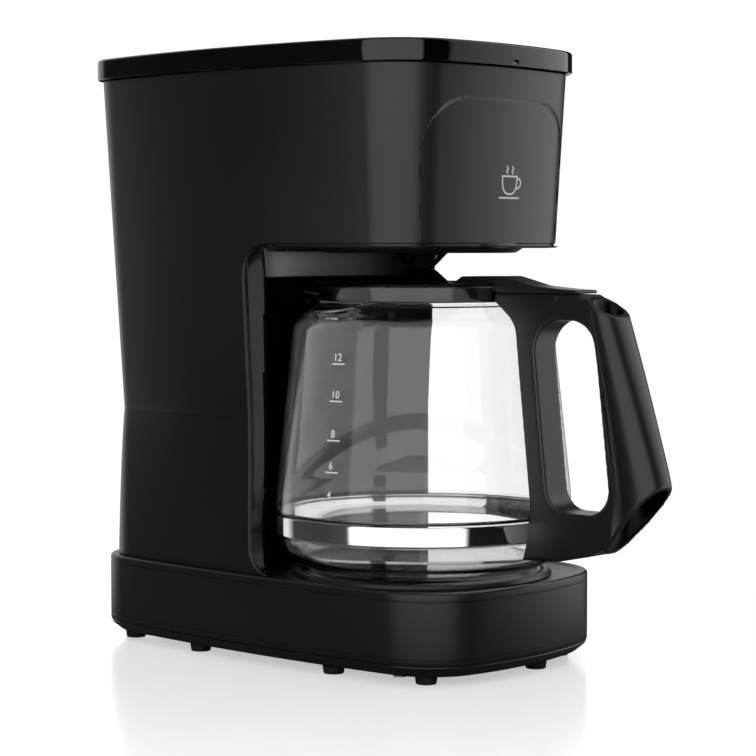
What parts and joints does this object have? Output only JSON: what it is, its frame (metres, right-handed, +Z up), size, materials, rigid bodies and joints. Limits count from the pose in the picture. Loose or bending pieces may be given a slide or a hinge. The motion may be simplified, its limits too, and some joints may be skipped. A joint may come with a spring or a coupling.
{
  "type": "drip coffee maker",
  "caption": "Upright black drip coffee maker: tower with overhanging brew head, hinged lid, hot plate base, glass carafe with side handle and lid.",
  "frame": {"origin": "on the table, under the middle of the whole object, carafe handle included", "axes": "+Z up, -Y towards the front where the carafe handle points, +X to the right seen from behind the object (the left seen by a user at the front is -X)"},
  "size_m": [0.1756, 0.3484, 0.326],
  "materials": {
    "satin_black_plastic": "satin black",
    "handle_black_plastic": "satin black",
    "gloss_black_plastic": "high gloss black",
    "inner_black_plastic": "matte black",
    "black_rubber": "matte black",
    "clear_glass": "clear, polished",
    "polished_steel": "mirror polished",
    "zinc_steel": "satin zinc",
    "black_enamel": "black non-stick enamel",
    "aluminium": "satin",
    "silicone": "translucent white, matte",
    "white_plastic": "satin white",
    "cream_ceramic": "matte cream",
    "red_wire": "red sleeve"
  },
  "bodies": {
    "machine": {"base_housing": "satin_black_plastic", "bottom_cover": "satin_black_plastic", "bottom_screw_1": "zinc_steel", "bottom_screw_2": "zinc_steel", "bottom_screw_3": "zinc_steel", "bottom_screw_4": "zinc_steel", "foot_left_rear": "black_rubber", "foot_left_back": "black_rubber", "foot_left_middle": "black_rubber", "foot_left_front": "black_rubber", "foot_right_rear": "black_rubber", "foot_right_back": "black_rubber", "foot_right_middle": "black_rubber", "foot_right_front": "black_rubber", "foot_front": "black_rubber", "hot_plate": "black_enamel", "plate_gasket": "silicone", "heating_element": "aluminium", "water_tube": "aluminium", "element_strap": "zinc_steel", "strap_screw": "zinc_steel", "thermostat": "cream_ceramic", "thermal_fuse": "zinc_steel", "inlet_hose": "silicone", "outlet_hose": "silicone", "inlet_clamp": "zinc_steel", "outlet_clamp": "zinc_steel", "riser_tube": "white_plastic", "switch_body": "handle_black_plastic", "terminal_block": "white_plastic", "cord_gland": "black_rubber", "wire_live": "red_wire", "wire_neutral": "white_plastic", "lower_tower": "satin_black_plastic", "upper_housing": "satin_black_plastic", "bay_liner": "satin_black_plastic", "head_underside": "satin_black_plastic", "underside_screw_1": "zinc_steel", "underside_screw_2": "zinc_steel", "brew_well": "inner_black_plastic", "water_reservoir": "inner_black_plastic", "check_valve": "silicone", "inlet_strainer": "white_plastic", "brew_basket": "handle_black_plastic", "drip_nozzle": "handle_black_plastic", "valve_cage": "inner_black_plastic", "shower_arm": "inner_black_plastic", "lid_pin_left": "zinc_steel", "lid_pin_right": "zinc_steel"},
    "lid": {"lid": "gloss_black_plastic"},
    "carafe": {"carafe_glass": "clear_glass", "carafe_handle": "handle_black_plastic", "steel_band": "polished_steel", "handle_screw": "zinc_steel", "carafe_lid_pin": "handle_black_plastic"},
    "carafe_lid": {"carafe_lid": "handle_black_plastic"},
    "drip_valve": {"drip_valve": "inner_black_plastic", "valve_seal": "black_rubber", "valve_spring": "zinc_steel"},
    "power_rocker": {"power_rocker": "handle_black_plastic"}
  },
  "joints": [
    {"name": "lid_hinge", "type": "hinge", "parent": "machine", "child": "lid", "pos_m": [0, 0.1708, 0.3119], "axis": [-1, 0, 0], "range_deg": [0, 95]},
    {"name": "carafe_slide", "type": "slide", "parent": "machine", "child": "carafe", "axis": [0, -1, 0], "range_m": [0, 0.26]},
    {"name": "carafe_lid_hinge", "type": "hinge", "parent": "carafe", "child": "carafe_lid", "pos_m": [0, -0.1113, 0.195], "axis": [1, 0, 0], "range_deg": [0, 0.25]},
    {"name": "drip_valve_lift", "type": "slide", "parent": "machine", "child": "drip_valve", "axis": [0, 0, 1], "range_m": [0, 0.004], "stiffness_N_per_m": 120, "springref_m": -0.003, "deforming": ["valve_spring"]},
    {"name": "power_switch", "type": "hinge", "parent": "machine", "child": "power_rocker", "pos_m": [0.0755, 0.0152, 0.029], "axis": [0, -1, 0], "range_deg": [0, 18]}
  ]
}
